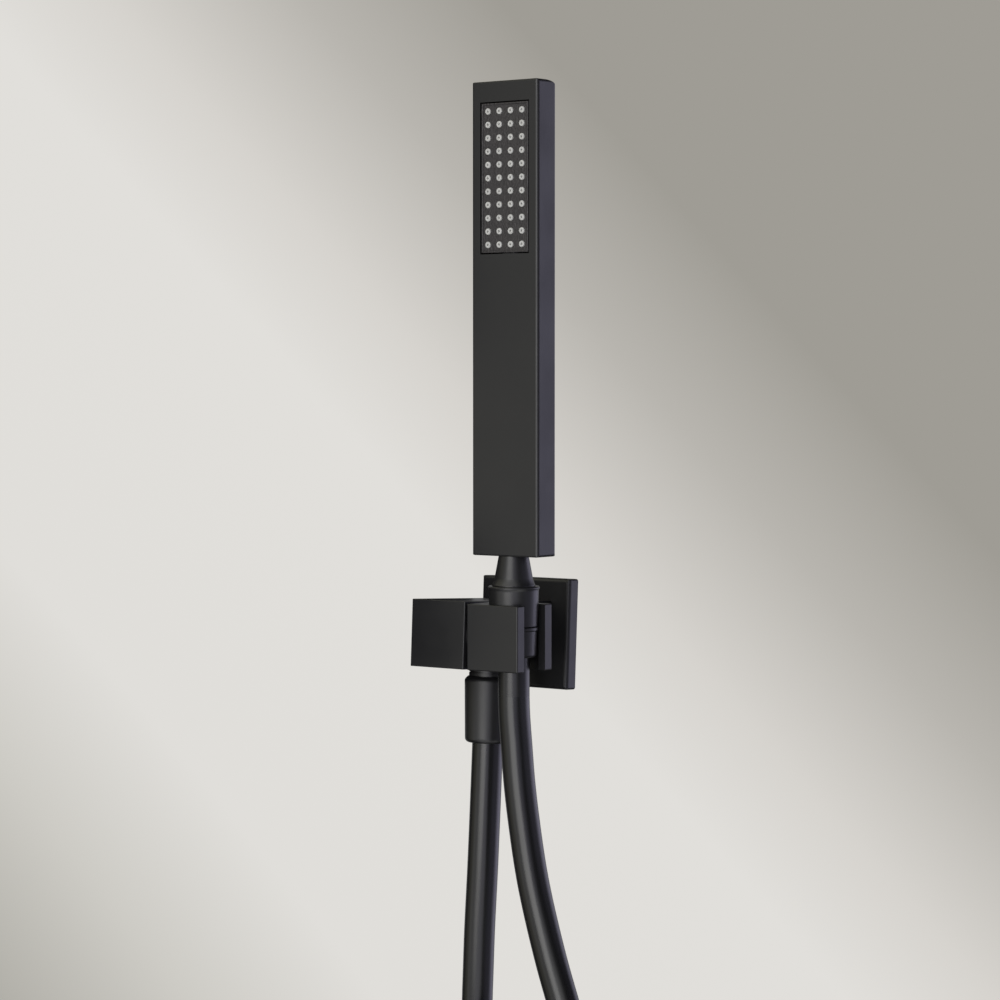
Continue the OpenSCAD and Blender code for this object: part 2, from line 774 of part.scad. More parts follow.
module inlet_tube_o_rings() {
    color("#101010") seated() for (z = [tube_bottom + 2, tube_top - 3])
        o_ring(neck_bore_r - tube_o_ring_r, tube_o_ring_r, z);
}

module spray_chamber() {
    socket_r = neck_bore_r + socket_wall;
    inner_y = front_y + head_wall + 0.2;
    color("#3a3c40") seated() difference() {
        union() {
            block([-mat_w / 2, chamber_y, chamber_bottom],
                  [mat_w / 2, chamber_back, window_z + mat_h / 2]);
            intersection() {
                ring(socket_r, chamber_bottom - socket_depth, chamber_bottom + 1);
                union() {
                    block([-socket_r - 1, inner_y, chamber_bottom - socket_depth],
                          [socket_r + 1, chamber_back, tube_top - 0.2]);
                    block([-socket_r - 1, chamber_y, chamber_bottom - socket_depth],
                          [socket_r + 1, chamber_back, chamber_bottom + 1]);
                }
            }
        }
        block([chamber_wall - mat_w / 2, chamber_y - eps, chamber_bottom + chamber_floor],
              [mat_w / 2 - chamber_wall, chamber_back - chamber_wall,
               window_z + mat_h / 2 - chamber_wall]);
        ring(neck_bore_r, chamber_bottom - socket_depth - eps, tube_top - 0.2 - 1);
        ring(tube_r + snug, tube_top - 2, tube_top + snug);
        ring(tube_r - tube_wall, tube_top, chamber_bottom + chamber_floor + eps);
    }
}

// Places one child at each nozzle
module nozzle_grid() {
    for (c = [0:nozzle_cols - 1], r = [0:nozzle_rows - 1])
        translate([(c - (nozzle_cols - 1) / 2) * nozzle_pitch_x, 0,
                   window_z + (r - (nozzle_rows - 1) / 2) * nozzle_pitch_z])
            into_room() children();
}

module nozzle_mat() {
    color("#b9bab8") seated() difference() {
        union() {
            block([-mat_w / 2, mat_y, window_z - mat_h / 2],
                  [mat_w / 2, chamber_y, window_z + mat_h / 2]);
            nozzle_grid() ring(nozzle_r, -mat_y - eps, nozzle_out - face_y);
        }
        nozzle_grid() ring(jet_r, -chamber_y - eps, nozzle_out - face_y + eps);
    }
}

module spray_face() {
    color("#232326") seated() difference() {
        block([-face_w / 2, face_y - face_rim_h, window_z - face_h / 2],
              [face_w / 2, mat_y, window_z + face_h / 2]);
        block([face_rim_w - face_w / 2, face_y - face_rim_h - eps, window_z + face_rim_w - face_h / 2],
              [face_w / 2 - face_rim_w, face_y, window_z + face_h / 2 - face_rim_w]);
        nozzle_grid() ring(nozzle_hole_r, -mat_y - eps, 1 - face_y);
    }
}

wall_plate();
plate_gasket();
plate_o_ring();
supply_arm();
inlet_filter_washer();
outlet_spigot();
spigot_o_ring();
check_valve_housing();
check_valve_poppet();
check_valve_spring();
pivot_screw();
pivot_wave_washer();
friction_washer();
outlet_washer();
outlet_nipple();
outlet_ferrule();
outlet_hose_nut();
hose_supply_run();
hose_coil();
hose_handset_run();
hose_tie();
holder();
pivot_bush();
hose_end_run();
swivel_sleeve();
swivel_nipple();
swivel_ferrule();
swivel_o_ring();
cone_nut();
handset_washer();
flow_limiter();
neck();
neck_o_ring();
handset_body();
inlet_tube();
inlet_tube_o_rings();
spray_chamber();
nozzle_mat();
spray_face();
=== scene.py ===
"""Looks of a stick hand shower standing in its hinged wall clip, with its supply elbow and hose.

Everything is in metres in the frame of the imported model: the wall is the plane y = 0, the
room is on the -y side, and +z is up.
"""

import json
import logging
import math
from dataclasses import dataclass, field
from enum import Enum
from typing import Iterable, Sequence

import bmesh
import bpy
from mathutils import Matrix, Vector


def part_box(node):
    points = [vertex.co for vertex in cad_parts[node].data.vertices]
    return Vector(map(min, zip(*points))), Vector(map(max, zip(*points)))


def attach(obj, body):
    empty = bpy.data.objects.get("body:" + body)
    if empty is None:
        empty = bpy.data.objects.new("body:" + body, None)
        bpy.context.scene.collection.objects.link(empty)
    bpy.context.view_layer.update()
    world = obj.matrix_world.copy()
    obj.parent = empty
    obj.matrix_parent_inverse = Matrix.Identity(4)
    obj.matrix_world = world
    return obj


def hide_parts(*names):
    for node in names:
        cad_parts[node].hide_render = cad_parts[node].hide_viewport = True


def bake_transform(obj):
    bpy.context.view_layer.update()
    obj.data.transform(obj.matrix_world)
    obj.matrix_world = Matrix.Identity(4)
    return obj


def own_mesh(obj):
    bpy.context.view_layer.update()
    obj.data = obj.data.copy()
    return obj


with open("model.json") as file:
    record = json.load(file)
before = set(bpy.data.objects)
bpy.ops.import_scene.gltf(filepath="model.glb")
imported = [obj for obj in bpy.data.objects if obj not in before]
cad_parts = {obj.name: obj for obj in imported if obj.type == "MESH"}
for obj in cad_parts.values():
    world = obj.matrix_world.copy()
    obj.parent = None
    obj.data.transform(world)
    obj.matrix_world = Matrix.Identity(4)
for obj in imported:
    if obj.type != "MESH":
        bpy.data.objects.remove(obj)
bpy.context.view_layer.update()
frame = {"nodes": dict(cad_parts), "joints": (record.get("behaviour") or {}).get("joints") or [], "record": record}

MM = 0.001
# The attribute that holds a point's place on the straightened hose
STRAIGHT = "straight"
# Noise seldom goes below or above these, so a range that is mapped from them is used in full
NOISE_LOW, NOISE_HIGH = 0.3, 0.7
log = logging.getLogger("shower")


# ---------- small helpers ----------


def srgb(code: str) -> tuple[float, float, float, float]:
    """Turns an sRGB hex colour into linear RGBA.

    Args:
        code: The colour as "#rrggbb".

    Returns:
        Linear red, green and blue, and an alpha of 1.
    """
    parts = [int(code[i : i + 2], 16) / 255 for i in (1, 3, 5)]
    linear = [p / 12.92 if p <= 0.04045 else ((p + 0.055) / 1.055) ** 2.4 for p in parts]
    return (*linear, 1.0)


def add_node(
    tree: bpy.types.NodeTree,
    kind: str,
    links: dict[str | int, object] | None = None,
    **settings: object,
) -> bpy.types.Node:
    """Adds a node to a tree, sets it and links its inputs.

    Args:
        tree: The node tree.
        kind: The node's type, such as "ShaderNodeBump".
        links: From input name or index to an output socket, or to a plain value for the socket.
        settings: Attributes of the node itself.

    Returns:
        The new node.
    """
    node = tree.nodes.new(kind)
    for name, value in settings.items():
        setattr(node, name, value)
    for name, value in (links or {}).items():
        if isinstance(value, bpy.types.NodeSocket):
            tree.links.new(value, node.inputs[name])
        else:
            node.inputs[name].default_value = value
    return node


def set_ramp(node: bpy.types.Node, stops: Sequence[tuple[float, str]]) -> None:
    """Gives a Color Ramp its stops.

    Args:
        node: The Color Ramp node.
        stops: Positions from 0 to 1, each with an sRGB hex colour.
    """
    elements = node.color_ramp.elements
    while len(elements) > 1:
        elements.remove(elements[-1])
    elements[0].position, elements[0].color = stops[0][0], srgb(stops[0][1])
    for position, code in stops[1:]:
        elements.new(position).color = srgb(code)


def finish_mesh(bm: bmesh.types.BMesh, name: str, material: bpy.types.Material) -> bpy.types.Object:
    """Turns a bmesh into a smooth-shaded object at the origin.

    Args:
        bm: The finished bmesh, in metres in the model's frame. It is freed.
        name: The object's name.
        material: Its finish.

    Returns:
        The new object, linked to the scene.
    """
    mesh = bpy.data.meshes.new(name)
    bm.to_mesh(mesh)
    bm.free()
    mesh.materials.append(material)
    for face in mesh.polygons:
        face.use_smooth = True
    piece = bpy.data.objects.new(name, mesh)
    bpy.context.scene.collection.objects.link(piece)
    return piece


def keep_edges(bm: bmesh.types.BMesh, angle_deg: float) -> None:
    """Marks the edges that turn more than an angle as sharp, so that only rounds shade smoothly."""
    for edge in bm.edges:
        edge.smooth = len(edge.link_faces) == 2 and edge.calc_face_angle() < math.radians(angle_deg)


def edges_at(verts: Iterable[bmesh.types.BMVert]) -> list[bmesh.types.BMEdge]:
    """Lists the edges at some vertices, each once, in the order of the vertices."""
    return list(dict.fromkeys(edge for vert in verts for edge in vert.link_edges))


def spin_profile(
    bm: bmesh.types.BMesh, profile: Iterable[tuple[float, float]], steps: int
) -> list[bmesh.types.BMVert]:
    """Turns an outline round the Z axis.

    Args:
        bm: The bmesh to add to.
        profile: Points as (radius, height) in metres.
        steps: How many steps make the full turn.

    Returns:
        The new vertices.
    """
    before = set(bm.verts)
    row = [bm.verts.new((r, 0, z)) for r, z in profile]
    edges = [bm.edges.new(pair) for pair in zip(row, row[1:])]
    bmesh.ops.spin(
        bm,
        geom=row + edges,
        cent=(0, 0, 0),
        axis=(0, 0, 1),
        angle=math.tau,
        steps=steps,
        use_merge=True,
        use_duplicate=False,
    )
    new = [v for v in bm.verts if v not in before]
    bmesh.ops.remove_doubles(bm, verts=new, dist=1e-7)
    return [v for v in bm.verts if v not in before]


@dataclass(frozen=True)
class LocalBox:
    """A CAD node's lowest and highest corners in some upright frame of its own."""

    low: Vector
    high: Vector

    @property
    def size(self) -> Vector:
        """Width, depth and height."""
        return self.high - self.low

    @property
    def middle(self) -> Vector:
        """Its centre."""
        return (self.low + self.high) / 2


def joint_named(name: str) -> dict:
    """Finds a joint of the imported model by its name."""
    return next(j for j in frame["joints"] if j["name"] == name)


@dataclass(frozen=True)
class LeaningFrame:
    """The handset's own upright frame: Z along its axis, the origin at the pivot's height."""

    place: Matrix

    @classmethod
    def of_handset(cls) -> "LeaningFrame":
        """Reads the frame from the joint that the handset turns on.

        Returns:
            The frame at rest.
        """
        joint = joint_named("handset_turn")
        axis = Vector(joint["axis"]).normalized()
        turn = Vector((0, 0, 1)).rotation_difference(axis).to_matrix().to_4x4()
        return cls(Matrix.Translation(Vector(joint["pos_m"])) @ turn)

    def box(self, node: str) -> LocalBox:
        """Measures a CAD node in this frame.

        Args:
            node: The CAD node's name.

        Returns:
            Its box here.
        """
        back = self.place.inverted()
        points = [back @ v.co for v in frame["nodes"][node].data.vertices]
        low = Vector([min(p[i] for p in points) for i in range(3)])
        high = Vector([max(p[i] for p in points) for i in range(3)])
        return LocalBox(low, high)

    def point(self, x: float, y: float, z: float) -> Vector:
        """A point of this frame in the model's frame."""
        return self.place @ Vector((x, y, z))


# ---------- finishes ----------


@dataclass(frozen=True)
class Finish:
    """What every finish has: a name, a colour, a roughness and a grain."""

    name: str
    colour: str
    shade: str
    roughness: float
    grain_mm: float
    grain_height_mm: float
    patch_mm: float = 24.0
    roughness_range: float = 0.05

    def surface(self, tree: bpy.types.NodeTree) -> bpy.types.NodeSocket:
        """Gives the coordinates that the patterns lie on, in metres on the piece itself."""
        return add_node(tree, "ShaderNodeTexCoord").outputs["Object"]

    def build(self) -> bpy.types.Material:
        """Makes the material.

        Returns:
            A node material with varied colour and roughness, and the grain as bump.
        """
        material = bpy.data.materials.new(self.name)
        material.use_nodes = True
        tree = material.node_tree
        tree.nodes.clear()
        where = self.surface(tree)
        patches = add_node(
            tree,
            "ShaderNodeTexNoise",
            {"Vector": where, "Scale": 1 / (self.patch_mm * MM), "Detail": 3.0, "Roughness": 0.55},
        )
        grain = add_node(
            tree,
            "ShaderNodeTexNoise",
            {"Vector": where, "Scale": 1 / (self.grain_mm * MM), "Detail": 2.0, "Roughness": 0.5},
        )
        tint = add_node(
            tree,
            "ShaderNodeMix",
            {0: patches.outputs["Fac"], 6: srgb(self.colour), 7: srgb(self.shade)},
            data_type="RGBA",
        )
        rough = add_node(
            tree,
            "ShaderNodeMapRange",
            {
                "Value": patches.outputs["Fac"],
                "From Min": NOISE_LOW,
                "From Max": NOISE_HIGH,
                "To Min": self.roughness - self.roughness_range,
                "To Max": self.roughness + self.roughness_range,
            },
        )
        bump = add_node(
            tree,
            "ShaderNodeBump",
            {"Height": grain.outputs["Fac"], "Strength": 1.0, "Distance": self.grain_height_mm * MM},
        )
        shader = add_node(
            tree,
            "ShaderNodeBsdfPrincipled",
            {
                "Base Color": tint.outputs[2],
                "Roughness": rough.outputs["Result"],
                "Normal": bump.outputs["Normal"],
            },
        )
        self.dress(tree, shader)
        out = add_node(tree, "ShaderNodeOutputMaterial", {"Surface": shader.outputs["BSDF"]})
        out.is_active_output = True
        return material

    def dress(self, tree: bpy.types.NodeTree, shader: bpy.types.Node) -> None:
        """Adds what only this finish has. The plain finish adds nothing."""


@dataclass(frozen=True)
class PowderCoat(Finish):
    """Polyester powder baked on brass: matte black, with a fine orange peel that softens lights."""

    def dress(self, tree: bpy.types.NodeTree, shader: bpy.types.Node) -> None:
        """Sets the resin's refraction."""
        shader.inputs["IOR"].default_value = 1.5


@dataclass(frozen=True)
class Metal(Finish):
    """A turned metal: bright, with the lathe's fine rings left to the grain."""

    def dress(self, tree: bpy.types.NodeTree, shader: bpy.types.Node) -> None:
        """Makes it a metal."""
        shader.inputs["Metallic"].default_value = 1.0


@dataclass(frozen=True)
class Silicone(Finish):
    """Moulded silicone rubber: light passes a little way into it, so its shadows are soft."""

    depth_mm: float = 0.8
    soft_share: float = 0.35

    def dress(self, tree: bpy.types.NodeTree, shader: bpy.types.Node) -> None:
        """Lets light into the surface.

        Args:
            tree: The material's node tree.
            shader: Its Principled node.
        """
        shader.inputs["Subsurface Weight"].default_value = self.soft_share
        shader.inputs["Subsurface Radius"].default_value = (1.0, 0.95, 0.9)
        shader.inputs["Subsurface Scale"].default_value = self.depth_mm * MM
        shader.inputs["IOR"].default_value = 1.41


@dataclass(frozen=True)
class HosePvc(Finish):
    """Extruded PVC: a smooth satin skin whose faint waves run along the hose, over its braid."""

    stretch: float = 0.12

    def surface(self, tree: bpy.types.NodeTree) -> bpy.types.NodeSocket:
        """Lies along the hose as if it were straight, and stretched along it as extrusion marks are.

        Args:
            tree: The material's node tree.

        Returns:
            The coordinates.
        """
        straight = add_node(tree, "ShaderNodeAttribute", attribute_name=STRAIGHT)
        return add_node(
            tree, "ShaderNodeMapping", {"Vector": straight.outputs["Vector"], "Scale": (1, 1, self.stretch)}
        ).outputs["Vector"]

    def dress(self, tree: bpy.types.NodeTree, shader: bpy.types.Node) -> None:
        """Sets the plastic's refraction."""
        shader.inputs["IOR"].default_value = 1.53


FINISHES: dict[str, Finish] = {
    # Powder baked on brass: near black, and its fine orange peel spreads every light into a soft sheen
    "black_metal": PowderCoat(
        "powder_coated_brass", "#1b1b1c", "#161617", roughness=0.36, grain_mm=0.35, grain_height_mm=0.012
    ),
    # ABS moulded against a spark-eroded steel: small dull and shiny specks, livelier than the body.
    # The true grain is about 0.1 mm, too fine to show, so it is drawn near a millimetre wide
    "face_plastic": Finish(
        "spark_eroded_abs", "#403d3e", "#040404", roughness=0.42, grain_mm=0.9, grain_height_mm=0.3,
        patch_mm=1.2, roughness_range=0.17
    ),
    # Plain moulded ABS: even dark grey with a low shine
    "chamber_plastic": Finish(
        "moulded_abs", "#3a3b3d", "#343537", roughness=0.45, grain_mm=0.4, grain_height_mm=0.01
    ),
    # Acetal: waxy cream white
    "pale_plastic": Finish(
        "moulded_acetal", "#ddd8ca", "#d3cdbd", roughness=0.4, grain_mm=0.5, grain_height_mm=0.006
    ),
    # Silicone: light goes a little way in, so each nozzle looks soft and pale grey
    "nozzle_silicone": Silicone(
        "moulded_silicone", "#b6b6b3", "#acaca9", roughness=0.42, grain_mm=0.3, grain_height_mm=0.006
    ),
    # EPDM: black and dusty, almost without shine
    "seal_rubber": Finish(
        "moulded_epdm", "#141414", "#101010", roughness=0.65, grain_mm=0.3, grain_height_mm=0.01
    ),
    # Nylon: black with a dull, slightly greasy shine
    "friction_nylon": Finish(
        "moulded_nylon", "#1d1d1f", "#18181a", roughness=0.5, grain_mm=0.4, grain_height_mm=0.008
    ),
    # Woven tape: the threads break up the light, so it stays flat black
    "tie_nylon": Finish(
        "woven_nylon", "#202022", "#19191b", roughness=0.75, grain_mm=0.6, grain_height_mm=0.08
    ),
    # Stainless steel turned on a lathe: bright grey with a streak of light round each piece
    "steel": Metal(
        "turned_stainless_steel", "#b7b9bb", "#adb0b3", roughness=0.28, grain_mm=0.3, grain_height_mm=0.004
    ),
    # Brass turned on a lathe: warm yellow, with soft dark and light bands
    "brass": Metal(
        "turned_brass", "#c9a45a", "#bd9750", roughness=0.3, grain_mm=0.3, grain_height_mm=0.004
    ),
    # PVC drawn through a die: satin black, with one long soft streak of light down each side
    "hose_black": HosePvc(
        "extruded_pvc", "#161617", "#131314", roughness=0.27, grain_mm=1.2, grain_height_mm=0.01
    ),
}


# ---------- hose ----------


@dataclass(frozen=True)
class Tube:
    """A round tube swept along a route."""

    route: list[Vector]
    radius: float
    sides: int = 32

    def build(self, name: str, material: bpy.types.Material) -> bpy.types.Object:
        """Sweeps a ring along the route and closes both ends.

        Args:
            name: The piece's name.
            material: Its finish, which may read the STRAIGHT attribute.

        Returns:
            The tube, with its points' places on the straightened tube in that attribute.
        """
        headings = [
            (self.route[min(i + 1, len(self.route) - 1)] - self.route[max(i - 1, 0)]).normalized()
            for i in range(len(self.route))
        ]
        bm = bmesh.new()
        straight = bm.verts.layers.float_vector.new(STRAIGHT)
        turn = Vector((0, 0, 1)).rotation_difference(headings[0]).to_matrix().to_4x4()
        ring = bmesh.ops.create_circle(
            bm,
            cap_ends=True,
            radius=self.radius,
            segments=self.sides,
            matrix=Matrix.Translation(self.route[0]) @ turn,
        )["verts"]
        for k, vert in enumerate(ring):
            angle = math.tau * k / self.sides
            vert[straight] = (self.radius * math.cos(angle), self.radius * math.sin(angle), 0)
        edges = edges_at(ring)
        travelled = 0.0
        for here, there, heading, following in zip(
            self.route, self.route[1:], headings, headings[1:]
        ):
            new = bmesh.ops.extrude_edge_only(bm, edges=edges)["geom"]
            verts = [g for g in new if isinstance(g, bmesh.types.BMVert)]
            edges = [
                g for g in new if isinstance(g, bmesh.types.BMEdge) and all(v in verts for v in g.verts)
            ]
            travelled += (there - here).length
            bmesh.ops.translate(bm, verts=verts, vec=there - here)
            bend = heading.rotation_difference(following).to_matrix()
            bmesh.ops.rotate(bm, verts=verts, cent=there, matrix=bend)
            for vert in verts:
                x, y, _ = vert[straight]
                vert[straight] = (x, y, travelled)
        bmesh.ops.contextual_create(bm, geom=edges)
        bmesh.ops.recalc_face_normals(bm, faces=bm.faces)
        keep_edges(bm, angle_deg=60)
        return finish_mesh(bm, name, material)


def curve_through(points: Sequence[Vector], step: float) -> list[Vector]:
    """Draws one smooth curve through points, a centripetal Catmull-Rom spline without loops or cusps.

    Args:
        points: The points that it passes through, the first and last being its ends.
        step: About how far apart the curve's own points are.

    Returns:
        The curve's points.
    """
    ends = [2 * points[0] - points[1], *points, 2 * points[-1] - points[-2]]
    curve = [points[0]]
    for before, a, b, after in zip(ends, ends[1:], ends[2:], ends[3:]):
        count = max(1, round((b - a).length / step))
        times = [0.0]
        for p, q in ((before, a), (a, b), (b, after)):
            times.append(times[-1] + math.sqrt((q - p).length))
        leave = ((a - before) / (times[1] - times[0]) - (b - before) / (times[2] - times[0])
                 + (b - a) / (times[2] - times[1])) * (times[2] - times[1])
        arrive = ((b - a) / (times[2] - times[1]) - (after - a) / (times[3] - times[1])
                  + (after - b) / (times[3] - times[2])) * (times[2] - times[1])
        for i in range(1, count + 1):
            t = i / count
            curve.append(
                a * (2 * t**3 - 3 * t**2 + 1)
                + leave * (t**3 - 2 * t**2 + t)
                + b * (3 * t**2 - 2 * t**3)
                + arrive * (t**3 - t**2)
            )
    return curve


def length_of(points: Sequence[Vector]) -> float:
    """Adds up the distances between points in a row."""
    return sum((b - a).length for a, b in zip(points, points[1:]))


# Route of the supply strand, in millimetres, from the outlet nut down to the coil
SUPPLY_ROUTE = [(-0.3, -32.4, -80), (-0.9, -32.2, -110), (-2.1, -31.6, -140), (-3.2, -30.4, -168),
                (-4.8, -28.8, -188), (-9.5, -27.6, -201)]
# Route of the handset strand, in millimetres, from under the clip down to the coil
HANDSET_ROUTE = [(34.3, -57, -37), (35.9, -57, -49), (38.2, -57.2, -65), (41.8, -57.6, -83),
                 (48.6, -58.3, -110), (60.5, -59.9, -142), (72.8, -62.2, -168), (86, -65.2, -196)]


class Lay(Enum):
    COILED = "coiled"
    HANGING = "hanging"


@dataclass
class Hose:
    """A smooth shower hose: its stored length hangs in a neat coil, tied at the bottom.

    The strands join and leave the coil at join_deg and leave_deg, counted from the right and upwards.
    Each end of the hose runs on inside its fitting by the length named hidden.
    """

    lean: LeaningFrame
    materials: dict[str, bpy.types.Material]
    coil_middle: Vector = field(default_factory=lambda: Vector((40, -46, -268)) * MM)
    coil_radius: float = 76 * MM
    turn_gap: float = 0.2 * MM
    join_deg: float = 139.2
    leave_deg: float = 37.8
    whole_turns: int = 3
    points_a_turn: int = 24
    step: float = 5 * MM
    hidden: float = 1.5 * MM
    tail_steps: int = 8

    @property
    def diameter(self) -> float:
        """Outer diameter, from the straight end that the sleeve holds."""
        return self.lean.box("hose_end_run").size.x

    def coil(self) -> list[Vector]:
        """Works out the coil's points, from the wall side forwards.

        Returns:
            Points an even angle apart along a helix whose turns lie side by side.
        """
        sweep = self.leave_deg + 360 * self.whole_turns - self.join_deg
        count = round(sweep / 360 * self.points_a_turn)
        width = (self.diameter + self.turn_gap) * sweep / 360
        points = []
        for i in range(count + 1):
            angle = math.radians(self.join_deg + sweep * i / count)
            around = Vector((math.cos(angle), 0, math.sin(angle))) * self.coil_radius
            points.append(self.coil_middle + around + Vector((0, width * (0.5 - i / count), 0)))
        return points

    def build(self) -> list[bpy.types.Object]:
        """Makes the hose in three stretches: coil, handset strand and the tail at the sleeve.

        Returns:
            The pieces.
        """
        material = self.materials["hose_black"]
        nut_low, nut_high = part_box("outlet_hose_nut")
        exit_point = Vector(((nut_low.x + nut_high.x) / 2, (nut_low.y + nut_high.y) / 2, nut_low.z))
        sleeve = self.lean.box("swivel_sleeve")
        sleeve_foot = self.lean.point(0, 0, sleeve.low.z)
        tail_end = self.lean.point(0, 0, self.lean.box("hose_end_run").low.z)

        lower = curve_through(
            [exit_point + Vector((0, 0, self.hidden)), exit_point, *(Vector(p) * MM for p in SUPPLY_ROUTE),
             *self.coil()],
            self.step,
        )
        strand = curve_through(
            [self.coil()[-2], self.coil()[-1], *(Vector(p) * MM for p in reversed(HANDSET_ROUTE)),
             tail_end, sleeve_foot],
            self.step,
        )
        first = min(range(len(strand)), key=lambda i: (strand[i] - self.coil()[-1]).length)
        last = min(range(len(strand)), key=lambda i: (strand[i] - tail_end).length)
        strand = strand[first : last + 1]
        tail = [tail_end.lerp(sleeve_foot, i / self.tail_steps) for i in range(self.tail_steps + 1)]
        tail.append(self.lean.point(0, 0, sleeve.low.z + self.hidden))

        coil_piece = Tube(lower, self.diameter / 2).build("shower_hose_coil", material)
        strand_piece = Tube(strand, self.diameter / 2).build("shower_hose_strand", material)
        tail_piece = Tube(tail, self.diameter / 2).build("shower_hose_tail", material)

        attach(coil_piece, "elbow")
        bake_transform(strand_piece)
        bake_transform(tail_piece)
        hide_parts("hose_supply_run", "hose_coil")
        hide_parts("hose_handset_run")
        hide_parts("hose_end_run")
        self.diameter
        self.diameter
        log.info("hose %.3f m between its fittings",
                 length_of(lower) + length_of(strand) + length_of(tail))
        return [coil_piece, strand_piece, tail_piece]


# ---------- check valve ----------


@dataclass
class ValveSpring:
    """The wire spring that holds the check valve shut, and shortens as the valve opens."""

    materials: dict[str, bpy.types.Material]
    turns: float = 5.0
    wire_radius: float = 0.3 * MM
    points_a_turn: int = 24

    def build(self) -> list[bpy.types.Object]:
        """Winds the wire inside the CAD spring's box.

        Returns:
            The spring.
        """
        low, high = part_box("check_valve_spring")
        middle = (low + high) / 2
        coil_radius = (high.x - low.x) / 2 - self.wire_radius
        count = round(self.turns * self.points_a_turn)
        foot, head = low.z + self.wire_radius, high.z - self.wire_radius
        wire = []
        for i in range(count + 1):
            angle = math.tau * i / self.points_a_turn
            around = Vector((math.cos(angle), math.sin(angle), 0)) * coil_radius
            wire.append(Vector((middle.x, middle.y, foot + (head - foot) * i / count)) + around)
        spring = Tube(wire, self.wire_radius, sides=8).build("valve_spring", self.materials["steel"])
        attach(spring, "elbow")
        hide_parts("check_valve_spring")
        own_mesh(spring)
        return [spring]


# ---------- spray face ----------


